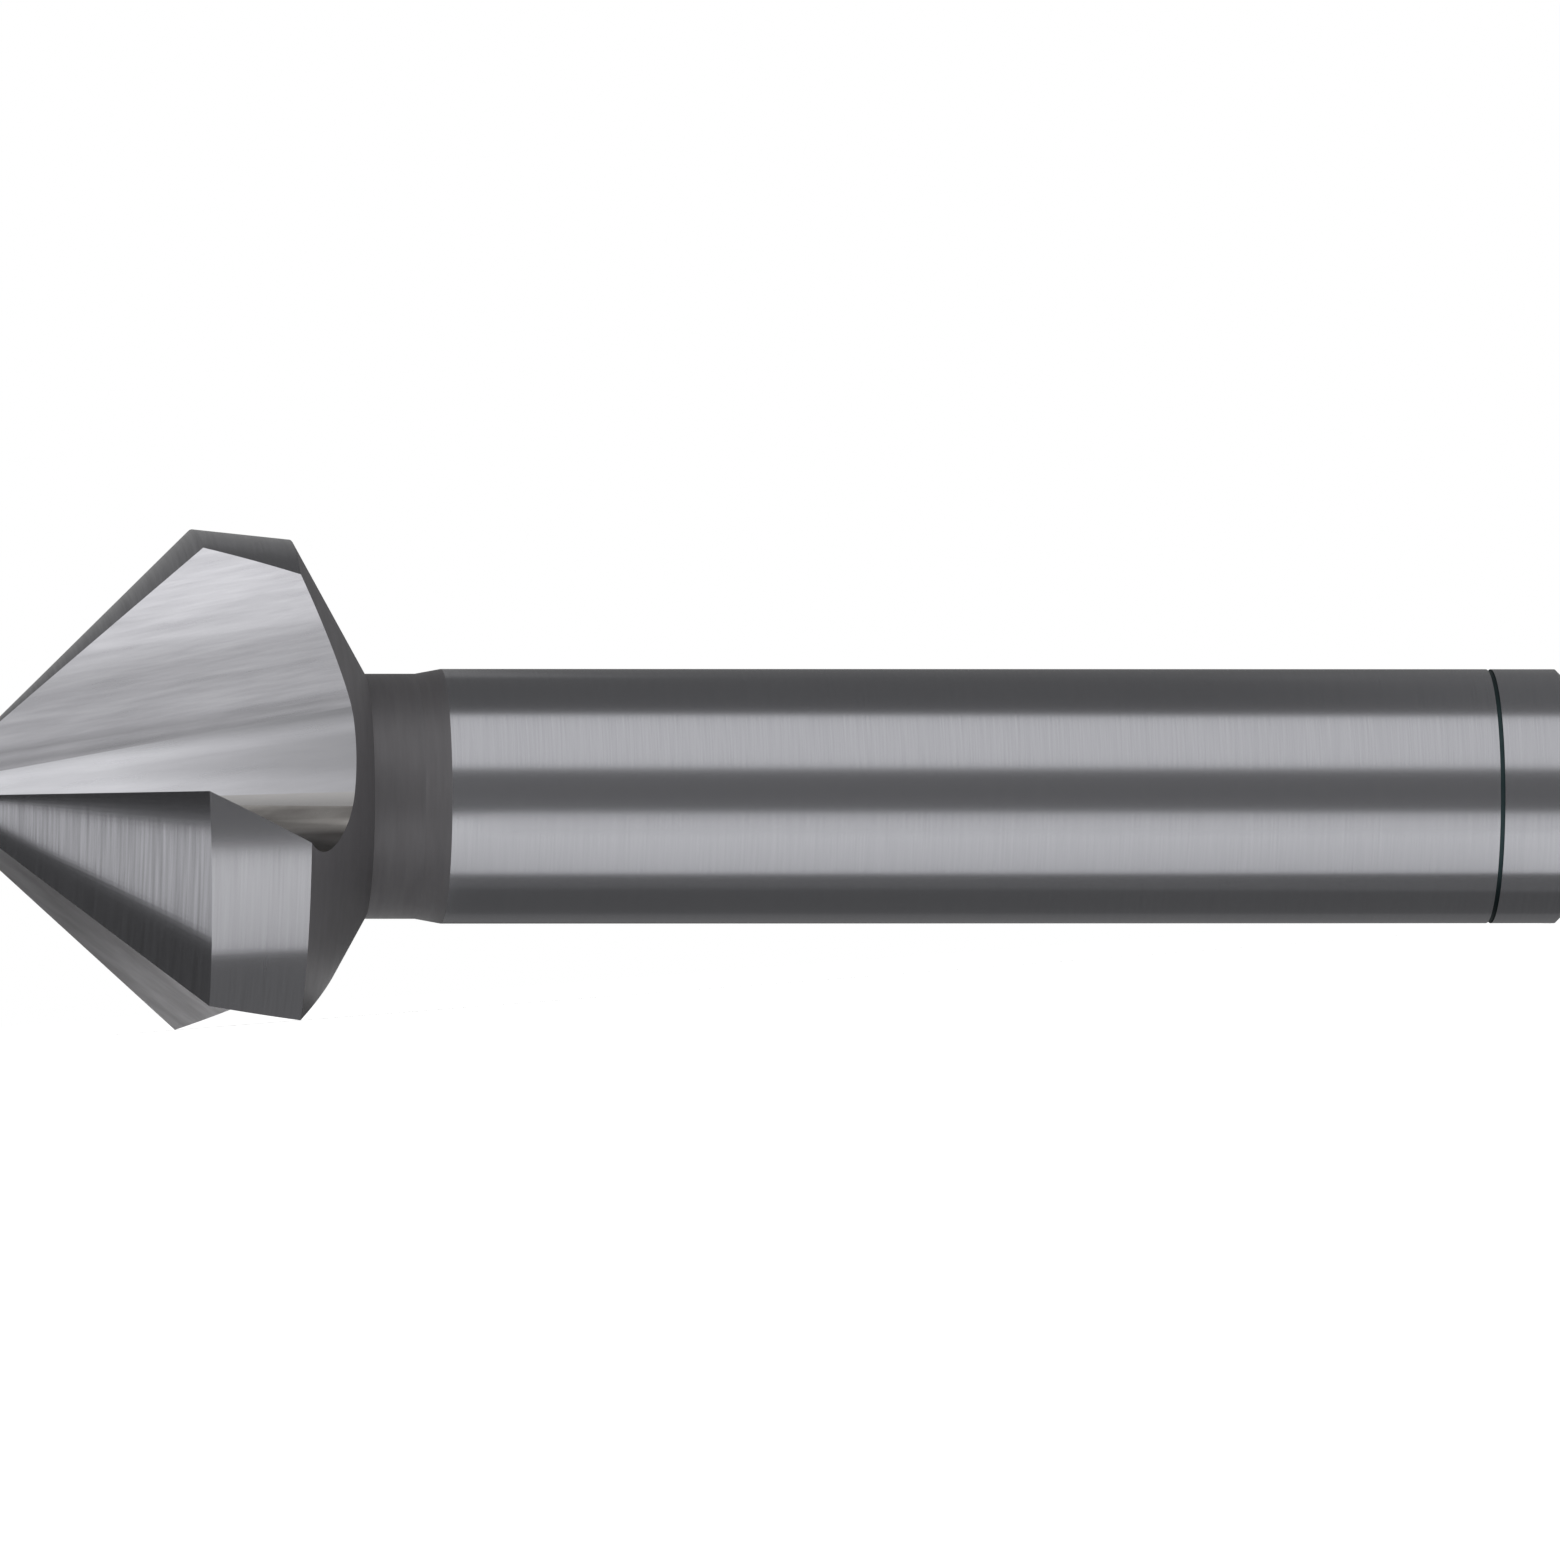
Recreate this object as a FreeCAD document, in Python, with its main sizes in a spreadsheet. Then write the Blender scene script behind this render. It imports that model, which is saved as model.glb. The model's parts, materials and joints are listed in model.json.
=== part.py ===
import FreeCAD, Part
import math
import os
import Sketcher

# Three-flute countersink bit with a straight shank, turned and ground from one bar.
# The tool's axis is X. The apex that the cutting cone points at is at x = 0, and the shank
# runs to +X. The first tooth's cutting edge lies on the +Y side, level with the axis, and the
# tooth's body is above it, so that the bit cuts right-handed.
# A station is a distance along the axis from the apex.

NODE = "countersink_bit"

# Millimetres and degrees.
SIZES = {
    "overall_length": (63.0, "tip face to shank end"),
    "point_angle": (90.0, "included angle of the cutting cone"),
    "tip_diameter": (4.1, "flat face at the tip"),
    "head_diameter": (21.0, "over the front corners of the teeth"),
    "land_length": (4.08, "band behind the cutting cone"),
    "land_taper": (6.0, "the land narrows towards the shank by this angle"),
    "back_cone_angle": (60.8, "slope of the head's back, from the axis"),
    "neck_diameter": (9.62, "relief behind the head"),
    "neck_length": (2.0, "parallel part of that relief"),
    "step_length": (1.03, "cone from the neck up to the shank"),
    "shank_diameter": (10.0, "parallel shank"),
    "end_chamfer": (0.5, "45 degree bevel at the shank end"),
    "ring_distance": (3.1, "middle of the ring mark from the shank end"),
    "ring_width": (0.18, "ring mark along the axis"),
    "ring_depth": (0.06, "ring mark into the shank"),
    "tooth_count": (3, "teeth, and as many flutes"),
    "rake_angle": (23.2, "hook of a tooth's face, from the radius at its edge"),
    "wall_angle": (4.1, "the flute's long wall faces this far behind the edge"),
    "wall_at_tip": (0.23, "long wall from the axis, at the tip face"),
    "wall_at_neck": (5.70, "long wall from the axis, at the neck"),
    "floor_angle": (14.6, "the flute's floor faces this far ahead of the edge"),
    "floor_at_tip": (0.47, "floor from the axis, at the tip face"),
    "floor_at_neck": (6.68, "floor from the axis, at the neck"),
    "root_at_tip": (0.3, "fillet under the tooth's face, at the tip face"),
    "root_at_neck": (3.7, "fillet under the tooth's face, at the neck"),
    "relief_slope": (0.045, "drop of the cone behind the edge, per unit of its radius"),
    "relief_lead": (3.0, "the relief begins this far ahead of the edge"),
    "relief_sweep": (85.0, "angle that the relief's cutter takes in"),
    "cutter_margin": (2.0, "how far the grinding cuts run past the steel"),
}

# Stations and sizes that several sketches share, as expressions of the sheet's sizes.
TIP_STATION = "Sizes.tip_diameter / 2 / tan(Sizes.point_angle / 2)"
CORNER_STATION = "Sizes.head_diameter / 2 / tan(Sizes.point_angle / 2)"
LAND_DROP = "Sizes.land_length * tan(Sizes.land_taper)"
NECK_STATION = (
    f"{CORNER_STATION} + Sizes.land_length"
    f" + (Sizes.head_diameter / 2 - {LAND_DROP} - Sizes.neck_diameter / 2)"
    " / tan(Sizes.back_cone_angle)"
)
END_STATION = f"{TIP_STATION} + Sizes.overall_length"
PAST_CORNER_STATION = f"{CORNER_STATION} + Sizes.cutter_margin"
CUTTER_REACH = "Sizes.head_diameter / 2 + Sizes.cutter_margin"


def make_sheet(doc):
    """Write each driving size into the spreadsheet, one aliased row each."""
    sheet = doc.addObject("Spreadsheet::Sheet", "Sizes")
    for row, (alias, (size, note)) in enumerate(SIZES.items(), start=1):
        sheet.set(f"A{row}", alias)
        sheet.set(f"B{row}", str(size))
        sheet.set(f"C{row}", note)
        sheet.setAlias(f"B{row}", alias)
    doc.recompute()
    return sheet


def value_of(obj, expression):
    """Work out an expression of the sheet's sizes as a number."""
    return float(obj.evalExpression(expression))


def new_sketch(body, name, role, station=None):
    """Put a sketch on a plane of the body's origin, moved to a station if one is given."""
    plane = next(feature for feature in body.Origin.OriginFeatures if feature.Role == role)
    sketch = body.newObject("Sketcher::SketchObject", name)
    sketch.AttachmentSupport = [(plane, "")]
    sketch.MapMode = "FlatFace"
    if station:
        sketch.setExpression("AttachmentOffset.Base.z", station)
    return sketch


def constrain(sketch, kind, *where):
    """Add a geometric constraint."""
    return sketch.addConstraint(Sketcher.Constraint(kind, *where))


def dimension(sketch, expression, kind, *where):
    """Add a dimension at its present value and bind it to the sheet."""
    size = value_of(sketch, expression)
    index = constrain(sketch, kind, *where, math.radians(size) if kind == "Angle" else size)
    sketch.setExpression(f"Constraints[{index}]", expression)


def check_cut(body, feature, before):
    """Recompute, check that a new feature cut some steel away, and return the volume left."""
    body.Document.recompute()
    if not feature.Shape.isValid() or feature.Shape.Volume >= before - 1e-6:
        raise RuntimeError(f"{feature.Name} cut nothing")
    return feature.Shape.Volume


def turn_blank(body):
    """Turn the outline: tip, cutting cone, land, back cone, neck, step, shank and bevel."""
    sketch = new_sketch(body, "Outline", "XY_Plane")
    tip_radius = value_of(sketch, "Sizes.tip_diameter / 2")
    head_radius = value_of(sketch, "Sizes.head_diameter / 2")
    neck_radius = value_of(sketch, "Sizes.neck_diameter / 2")
    shank_radius = value_of(sketch, "Sizes.shank_diameter / 2")
    chamfer = value_of(sketch, "Sizes.end_chamfer")
    tip = value_of(sketch, TIP_STATION)
    corner = value_of(sketch, CORNER_STATION)
    heel = corner + value_of(sketch, "Sizes.land_length")
    neck = value_of(sketch, NECK_STATION)
    neck_end = neck + value_of(sketch, "Sizes.neck_length")
    step_end = neck_end + value_of(sketch, "Sizes.step_length")
    end = value_of(sketch, END_STATION)
    corners = [
        FreeCAD.Vector(tip, 0, 0),
        FreeCAD.Vector(tip, tip_radius, 0),
        FreeCAD.Vector(corner, head_radius, 0),
        FreeCAD.Vector(heel, head_radius - value_of(sketch, LAND_DROP), 0),
        FreeCAD.Vector(neck, neck_radius, 0),
        FreeCAD.Vector(neck_end, neck_radius, 0),
        FreeCAD.Vector(step_end, shank_radius, 0),
        FreeCAD.Vector(end - chamfer, shank_radius, 0),
        FreeCAD.Vector(end, shank_radius - chamfer, 0),
        FreeCAD.Vector(end, 0, 0),
    ]
    lines = range(len(corners))
    for line in lines:
        sketch.addGeometry(Part.LineSegment(corners[line - 1], corners[line]))
    for line in lines:
        constrain(sketch, "Coincident", line, 1, lines[line - 1], 2)
    axis, tip_face, cone, land, back, neck_line, step, shank, bevel, end_face = lines
    constrain(sketch, "PointOnObject", axis, 1, -1)
    constrain(sketch, "PointOnObject", axis, 2, -1)
    constrain(sketch, "Vertical", tip_face)
    constrain(sketch, "Vertical", end_face)
    constrain(sketch, "Horizontal", neck_line)
    constrain(sketch, "Horizontal", shank)
    constrain(sketch, "PointOnObject", -1, 1, cone)
    dimension(sketch, "Sizes.point_angle / 2", "Angle", cone)
    dimension(sketch, "Sizes.tip_diameter / 2", "DistanceY", -1, 1, cone, 1)
    dimension(sketch, "Sizes.head_diameter / 2", "DistanceY", -1, 1, land, 1)
    dimension(sketch, "Sizes.land_length", "DistanceX", land, 1, land, 2)
    dimension(sketch, "-Sizes.land_taper", "Angle", land)
    dimension(sketch, "-Sizes.back_cone_angle", "Angle", back)
    dimension(sketch, "Sizes.neck_diameter / 2", "DistanceY", -1, 1, neck_line, 1)
    dimension(sketch, "Sizes.neck_length", "DistanceX", neck_line, 1, neck_line, 2)
    dimension(sketch, "Sizes.step_length", "DistanceX", step, 1, step, 2)
    dimension(sketch, "Sizes.shank_diameter / 2", "DistanceY", -1, 1, shank, 1)
    dimension(sketch, "Sizes.overall_length", "DistanceX", tip_face, 1, end_face, 2)
    dimension(sketch, "Sizes.end_chamfer", "DistanceX", bevel, 1, bevel, 2)
    dimension(sketch, "Sizes.end_chamfer", "DistanceY", bevel, 2, bevel, 1)

    blank = body.newObject("PartDesign::Revolution", "Blank")
    blank.Profile = sketch
    blank.ReferenceAxis = (sketch, ["H_Axis"])
    blank.Angle = 360.0
    body.Document.recompute()
    return blank


def crossing(first, second):
    """Find the point where two lines cross, each given by its normal's angle and distance."""
    (angle_1, distance_1), (angle_2, distance_2) = first, second
    turn = math.sin(angle_2 - angle_1)
    return FreeCAD.Vector(
        (distance_1 * math.sin(angle_2) - distance_2 * math.sin(angle_1)) / turn,
        (distance_2 * math.cos(angle_1) - distance_1 * math.cos(angle_2)) / turn,
        0,
    )


def towards(angle, distance):
    """Make a vector of the given length in a direction of the sketch."""
    return FreeCAD.Vector(distance * math.cos(angle), distance * math.sin(angle), 0)


def flute_section(body, name, station, wall, floor, root):
    """Draw the flute at one station: long wall, floor, root fillet and the tooth's face.

    The face goes through the cutting edge, which lies on the cutting cone at every station,
    so that the edge stays straight from the tip to the corner.
    """
    sketch = new_sketch(body, name, "YZ_Plane", station)
    edge = f"({station}) * tan(Sizes.point_angle / 2)"
    face = f"{edge} * sin(Sizes.rake_angle)"
    wall_normal = math.radians(value_of(sketch, "Sizes.wall_angle"))
    floor_normal = -math.radians(value_of(sketch, "Sizes.floor_angle"))
    face_normal = -math.radians(90 + value_of(sketch, "Sizes.rake_angle"))
    wall_line = (wall_normal, value_of(sketch, wall))
    floor_line = (floor_normal, value_of(sketch, floor))
    face_line = (face_normal, -value_of(sketch, face))
    radius = value_of(sketch, root)
    reach = value_of(sketch, CUTTER_REACH)
    side_line = (0, reach)
    bottom_line = (-math.pi / 2, reach)

    centre = crossing(
        (floor_normal, floor_line[1] + radius),
        (face_normal, face_line[1] + radius),
    )
    floor_end = centre - towards(floor_normal, radius)
    face_start = centre - towards(face_normal, radius)
    crease = crossing(wall_line, floor_line)
    wall_far = crossing(wall_line, bottom_line)
    face_far = crossing(face_line, side_line)
    outer = crossing(side_line, bottom_line)
    circle = Part.Circle(centre, FreeCAD.Vector(0, 0, 1), radius)
    arc_ends = (face_normal + math.pi, floor_normal + math.pi)

    wall_id = sketch.addGeometry(Part.LineSegment(wall_far, crease))
    floor_id = sketch.addGeometry(Part.LineSegment(crease, floor_end))
    root_id = sketch.addGeometry(Part.ArcOfCircle(circle, *arc_ends))
    face_id = sketch.addGeometry(Part.LineSegment(face_start, face_far))
    side_id = sketch.addGeometry(Part.LineSegment(face_far, outer))
    bottom_id = sketch.addGeometry(Part.LineSegment(outer, wall_far))
    constrain(sketch, "Coincident", wall_id, 2, floor_id, 1)
    constrain(sketch, "Tangent", floor_id, 2, root_id, 2)
    constrain(sketch, "Tangent", root_id, 1, face_id, 1)
    constrain(sketch, "Coincident", face_id, 2, side_id, 1)
    constrain(sketch, "Coincident", side_id, 2, bottom_id, 1)
    constrain(sketch, "Coincident", bottom_id, 2, wall_id, 1)
    constrain(sketch, "Vertical", side_id)
    constrain(sketch, "Horizontal", bottom_id)
    dimension(sketch, "90 + Sizes.wall_angle", "Angle", wall_id)
    dimension(sketch, "90 - Sizes.floor_angle", "Angle", floor_id)
    dimension(sketch, "-Sizes.rake_angle", "Angle", face_id)
    dimension(sketch, wall, "Distance", -1, 1, wall_id)
    dimension(sketch, floor, "Distance", -1, 1, floor_id)
    dimension(sketch, face, "Distance", -1, 1, face_id)
    dimension(sketch, root, "Radius", root_id)
    dimension(sketch, CUTTER_REACH, "DistanceX", -1, 1, side_id, 1)
    dimension(sketch, CUTTER_REACH, "DistanceY", bottom_id, 1, -1, 1)
    return sketch


def relief_section(body, name, station):
    """Draw the relief of one tooth's cone: a crescent inside an off-centre circle.

    The circle meets the cutting cone just ahead of the edge, and its centre is shifted
    towards the open flute, so that the cone falls away steadily behind the edge.
    """
    sketch = new_sketch(body, name, "YZ_Plane", station)
    edge = f"({station}) * tan(Sizes.point_angle / 2)"
    shift = f"{edge} * Sizes.relief_slope"
    inner = f"{edge} * sqrt(1 + Sizes.relief_slope * Sizes.relief_slope)"
    outer = f"{inner} + Sizes.cutter_margin"
    lead = math.radians(value_of(sketch, "Sizes.relief_lead"))
    sweep = math.radians(value_of(sketch, "Sizes.relief_sweep"))
    centre = towards(-lead - math.pi / 2, value_of(sketch, shift))
    first = -2 * lead
    last = sweep - 2 * lead
    normal = FreeCAD.Vector(0, 0, 1)
    inner_radius = value_of(sketch, inner)
    outer_radius = value_of(sketch, outer)
    inner_circle = Part.Circle(centre, normal, inner_radius)
    outer_circle = Part.Circle(centre, normal, outer_radius)

    inner_id = sketch.addGeometry(Part.ArcOfCircle(inner_circle, first, last))
    outer_id = sketch.addGeometry(Part.ArcOfCircle(outer_circle, first, last))
    front_id = sketch.addGeometry(
        Part.LineSegment(centre + towards(first, inner_radius), centre + towards(first, outer_radius))
    )
    rear_id = sketch.addGeometry(
        Part.LineSegment(centre + towards(last, inner_radius), centre + towards(last, outer_radius))
    )
    constrain(sketch, "Coincident", inner_id, 3, outer_id, 3)
    constrain(sketch, "Coincident", front_id, 1, inner_id, 1)
    constrain(sketch, "Coincident", front_id, 2, outer_id, 1)
    constrain(sketch, "Coincident", rear_id, 1, inner_id, 2)
    constrain(sketch, "Coincident", rear_id, 2, outer_id, 2)
    dimension(sketch, f"{shift} * sin(Sizes.relief_lead)", "DistanceX", inner_id, 3, -1, 1)
    dimension(sketch, f"{shift} * cos(Sizes.relief_lead)", "DistanceY", inner_id, 3, -1, 1)
    dimension(sketch, inner, "Radius", inner_id)
    dimension(sketch, outer, "Radius", outer_id)
    dimension(sketch, "-2 * Sizes.relief_lead", "Angle", front_id)
    dimension(sketch, "Sizes.relief_sweep - 2 * Sizes.relief_lead", "Angle", rear_id)
    return sketch


def loft_cut(body, name, front, rear):
    """Grind away what lies between two sections."""
    cut = body.newObject("PartDesign::SubtractiveLoft", name)
    cut.Profile = front
    cut.Sections = [rear]
    cut.Ruled = True
    return cut


def grind_teeth(body, blank):
    """Grind one flute and one relief, and repeat both around the axis."""
    volume = blank.Shape.Volume
    flute = loft_cut(
        body,
        "Flute",
        flute_section(
            body, "FluteAtTip", TIP_STATION,
            "Sizes.wall_at_tip", "Sizes.floor_at_tip", "Sizes.root_at_tip",
        ),
        flute_section(
            body, "FluteAtNeck", NECK_STATION,
            "Sizes.wall_at_neck", "Sizes.floor_at_neck", "Sizes.root_at_neck",
        ),
    )
    volume = check_cut(body, flute, volume)
    relief = loft_cut(
        body,
        "Relief",
        relief_section(body, "ReliefAtTip", TIP_STATION),
        relief_section(body, "ReliefPastCorner", PAST_CORNER_STATION),
    )
    volume = check_cut(body, relief, volume)
    teeth = body.newObject("PartDesign::PolarPattern", "Teeth")
    teeth.Originals = [flute, relief]
    teeth.Axis = (next(axis for axis in body.Origin.OriginFeatures if axis.Role == "X_Axis"), [""])
    teeth.Angle = 360.0
    teeth.setExpression("Occurrences", "Sizes.tooth_count")
    body.Tip = teeth
    check_cut(body, teeth, volume)
    return teeth


def mark_ring(body, teeth):
    """Cut the fine ring mark round the shank, near its end."""
    sketch = new_sketch(body, "RingProfile", "XY_Plane")
    middle = f"{END_STATION} - Sizes.ring_distance"
    bottom = "Sizes.shank_diameter / 2 - Sizes.ring_depth"
    half = value_of(sketch, "Sizes.ring_width / 2")
    low = value_of(sketch, bottom)
    high = low + value_of(sketch, "Sizes.ring_depth + Sizes.cutter_margin")
    place = value_of(sketch, middle)
    corners = [
        FreeCAD.Vector(place - half, low, 0),
        FreeCAD.Vector(place + half, low, 0),
        FreeCAD.Vector(place + half, high, 0),
        FreeCAD.Vector(place - half, high, 0),
    ]
    lines = range(len(corners))
    for line in lines:
        sketch.addGeometry(Part.LineSegment(corners[line - 1], corners[line]))
    for line in lines:
        constrain(sketch, "Coincident", line, 1, lines[line - 1], 2)
    front, floor, rear, top = lines
    constrain(sketch, "Vertical", front)
    constrain(sketch, "Horizontal", floor)
    constrain(sketch, "Vertical", rear)
    constrain(sketch, "Horizontal", top)
    dimension(sketch, f"{middle} - Sizes.ring_width / 2", "DistanceX", -1, 1, floor, 1)
    dimension(sketch, "Sizes.ring_width", "DistanceX", floor, 1, floor, 2)
    dimension(sketch, bottom, "DistanceY", -1, 1, floor, 1)
    dimension(sketch, "Sizes.ring_depth + Sizes.cutter_margin", "DistanceY", rear, 1, rear, 2)

    ring = body.newObject("PartDesign::Groove", "RingMark")
    ring.Profile = sketch
    ring.ReferenceAxis = (sketch, ["H_Axis"])
    ring.Angle = 360.0
    body.Tip = ring
    check_cut(body, ring, teeth.Shape.Volume)
    return ring


def bisect(function, low, high):
    """Find where a function that rises from low to high crosses zero."""
    for _ in range(60):
        middle = (low + high) / 2
        if function(middle) < 0:
            low = middle
        else:
            high = middle
    return (low + high) / 2


def lay_down(body, sheet):
    """Lay the bit on its side as it comes to rest.

    It touches the bench with a corner of each of two teeth, one on either side of a flute,
    and with the rim where the shank's end bevel begins.
    """
    head_radius = value_of(sheet, "Sizes.head_diameter / 2")
    rim_radius = value_of(sheet, "Sizes.shank_diameter / 2")
    rim_station = value_of(sheet, f"{END_STATION} - Sizes.end_chamfer")
    points = [vertex.Point for vertex in body.Shape.Vertexes]
    tooth_corners = [p for p in points if math.hypot(p.y, p.z) > 0.9 * head_radius]

    def lie(roll, tilt):
        along_axis = FreeCAD.Rotation(FreeCAD.Vector(1, 0, 0), roll)
        nose_up = FreeCAD.Rotation(FreeCAD.Vector(0, 1, 0), tilt)
        return nose_up.multiply(along_axis)

    def lowest(roll, tilt, side):
        turned = [lie(roll, tilt).multVec(point) for point in tooth_corners]
        return min(point.z for point in turned if point.y * side > 0)

    def rim_height(tilt):
        slope = math.radians(tilt)
        return -rim_station * math.sin(slope) - rim_radius * math.cos(slope)

    def tilt_at(roll):
        def head_above_rim(tilt):
            head = min(lowest(roll, tilt, -1), lowest(roll, tilt, 1))
            return head - rim_height(tilt)
        return bisect(head_above_rim, 0, 45)

    def lean(roll):
        tilt = tilt_at(roll)
        return lowest(roll, tilt, 1) - lowest(roll, tilt, -1)

    tooth_pitch = 360 / value_of(sheet, "Sizes.tooth_count")
    flute_middle = -tooth_pitch / 4
    flute_down = -90 - flute_middle
    roll = bisect(lean, flute_down - tooth_pitch / 6, flute_down + tooth_pitch / 6)
    tilt = tilt_at(roll)
    body.Placement = FreeCAD.Placement(FreeCAD.Vector(), lie(roll, tilt))
    box = body.Shape.optimalBoundingBox(False)
    base = FreeCAD.Vector(-box.Center.x, -box.Center.y, -rim_height(tilt))
    body.Placement = FreeCAD.Placement(base, lie(roll, tilt))
    print(f"roll {roll:.3f}, tilt {tilt:.3f}, moved by {base}")


def check(doc, body):
    """Stop on any failed feature, and on a body that is not one valid solid."""
    doc.recompute()
    for obj in doc.Objects:
        if "Invalid" in obj.State or "Error" in obj.State:
            raise RuntimeError(f"{obj.Name} failed: {obj.State}")
    shape = body.Shape
    if shape.isNull() or not shape.isValid() or len(shape.Solids) != 1:
        raise RuntimeError(f"{body.Label} is not one valid solid")


def main():
    """Build the bit and write it to the parts folder."""
    os.makedirs("parts", exist_ok=True)
    doc = FreeCAD.newDocument("CountersinkBit")
    sheet = make_sheet(doc)
    body = doc.addObject("PartDesign::Body", "CountersinkBit")
    body.Label = NODE
    blank = turn_blank(body)
    teeth = grind_teeth(body, blank)
    mark_ring(body, teeth)
    check(doc, body)
    lay_down(body, sheet)
    check(doc, body)
    body.Shape.exportStep(f"parts/{NODE}.step")
    print(f"{NODE}: volume {body.Shape.Volume:.2f} mm3, faces {len(body.Shape.Faces)}")


main()
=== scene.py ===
"""A three-flute countersink bit of ground steel, lying on a white table.

The bit is remodelled on the fixed frame as one smooth piece: a blank is turned on the tool's
axis, and flutes, reliefs and a ring mark are ground into it. Each zone of the steel has the
finish that its grinding left, and the flutes' zones also carry painted shade and painted
highlights in their tones. Modelling is in millimetres along the tool's own axis, with the
apex of the cutting cone at the origin and the shank towards +X. The finished piece is then
laid down in metres where the frame has it. A station is a distance along the axis from the apex.
"""

import json
import logging
import math
from dataclasses import dataclass
from enum import Enum
from typing import Callable, Sequence

import bmesh
import bpy
from mathutils import Euler, Matrix, Vector


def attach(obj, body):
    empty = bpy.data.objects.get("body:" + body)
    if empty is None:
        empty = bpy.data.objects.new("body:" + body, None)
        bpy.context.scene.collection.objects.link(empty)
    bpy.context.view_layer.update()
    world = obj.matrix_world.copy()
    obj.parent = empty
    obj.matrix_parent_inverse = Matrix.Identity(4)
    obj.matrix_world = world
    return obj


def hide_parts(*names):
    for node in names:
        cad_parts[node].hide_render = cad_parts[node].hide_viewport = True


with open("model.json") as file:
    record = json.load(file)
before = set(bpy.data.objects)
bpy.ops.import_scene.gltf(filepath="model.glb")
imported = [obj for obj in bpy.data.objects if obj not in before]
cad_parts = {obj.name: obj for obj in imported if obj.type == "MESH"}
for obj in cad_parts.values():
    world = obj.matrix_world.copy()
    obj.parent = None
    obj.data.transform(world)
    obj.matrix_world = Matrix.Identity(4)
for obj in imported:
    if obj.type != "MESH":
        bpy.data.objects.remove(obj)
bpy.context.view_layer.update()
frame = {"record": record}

LOG = logging.getLogger("countersink_bit")
MM = 0.001
NODE = "countersink_bit"
WHITE = (1.0, 1.0, 1.0, 1.0)

Colour = tuple[float, float, float]
Triple = tuple[float, float, float]
Outline = tuple[tuple[float, float], ...]


class Zone(Enum):
    """The finishes of the steel, in the order of the blank's material slots."""

    TIP = "tip_face"
    CONE = "ground_cone"
    LAND = "ground_land"
    TURNED = "turned_steel"
    SHANK = "ground_shank"
    RING = "ring_mark"
    END = "faced_end"


@dataclass(frozen=True)
class Lie:
    """How the bit lies on the table: where its apex is, and how it is turned.

    Attributes:
        apex: The apex of the cutting cone, in metres.
        roll: Turn about the tool's own axis, in radians.
        tilt: Fall of the axis towards the shank end, in radians.
    """

    apex: Vector
    roll: float
    tilt: float

    @classmethod
    def of_frame(cls, record: dict, end_station: float, roll: float) -> "Lie":
        """Read the axis from the mount on the shank's end.

        Args:
            record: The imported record.
            end_station: Station of the shank's end, in millimetres.
            roll: Turn about the axis, in radians.

        Returns:
            The lie of the bit.
        """
        mount = next(m for m in record["mounts"] if m["name"] == "shank_end")
        axis = Vector(mount["axis"]).normalized()
        apex = Vector(mount["pos_m"]) - axis * end_station * MM
        return cls(apex=apex, roll=roll, tilt=math.atan2(-axis.z, axis.x))

    @property
    def turn(self) -> Euler:
        """The bit's rotation."""
        return Euler((self.roll, self.tilt, 0.0), "XYZ")

    @property
    def axis(self) -> Vector:
        """Unit vector along the tool, towards the shank."""
        return self.turn.to_matrix() @ Vector((1.0, 0.0, 0.0))

    def matrix(self) -> Matrix:
        """Place from the tool's millimetres to the frame's metres."""
        return Matrix.Translation(self.apex) @ self.turn.to_matrix().to_4x4() @ Matrix.Scale(MM, 4)

    def point(self, station: float) -> Vector:
        """Point of the axis at a station, in metres."""
        return self.apex + self.axis * station * MM


def grey_colour(grey: float) -> tuple[float, float, float, float]:
    """Colour of an even grey, as the nodes take it."""
    return (grey, grey, grey, 1.0)


def select_only(obj: bpy.types.Object) -> None:
    """Deselect everything, then select one object and make it active.

    Args:
        obj: The object to select.
    """
    bpy.ops.object.select_all(action="DESELECT")
    obj.select_set(True)
    bpy.context.view_layer.objects.active = obj


def apply_place(obj: bpy.types.Object) -> None:
    """Move an object's place, turn and scale into its mesh."""
    select_only(obj)
    bpy.ops.object.transform_apply(location=True, rotation=True, scale=True)


def apply_modifier(obj: bpy.types.Object, kind: str, settings: dict[str, object]) -> None:
    """Add a modifier with its settings and apply it.

    Args:
        obj: The object that the modifier shapes.
        kind: Blender's name for the kind of modifier.
        settings: Values of the modifier's properties by name.
    """
    select_only(obj)
    modifier = obj.modifiers.new(kind.lower(), kind)
    for name, value in settings.items():
        setattr(modifier, name, value)
    bpy.ops.object.modifier_apply(modifier=modifier.name)


def select_vertices(obj: bpy.types.Object, wanted: Callable[[bmesh.types.BMVert], bool]) -> None:
    """Select the vertices that pass a test, in edit mode.

    Args:
        obj: The object in edit mode.
        wanted: Says of a vertex whether it is selected.
    """
    mesh = bmesh.from_edit_mesh(obj.data)
    for vertex in mesh.verts:
        vertex.select_set(wanted(vertex))
    mesh.select_flush_mode()
    bmesh.update_edit_mesh(obj.data)


def place_ring(obj: bpy.types.Object, first: int, corners: Sequence[Vector]) -> None:
    """Move consecutive vertices of a mesh to the corners of an outline, in edit mode.

    Args:
        obj: The object in edit mode, unturned and at the origin.
        first: Index of the first vertex of the ring.
        corners: Where the vertices go, in order.
    """
    for offset, corner in enumerate(corners):
        index = first + offset
        select_vertices(obj, lambda vertex, index=index: vertex.index == index)
        mesh = bmesh.from_edit_mesh(obj.data)
        mesh.verts.ensure_lookup_table()
        bpy.ops.transform.translate(value=corner - mesh.verts[index].co)


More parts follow.
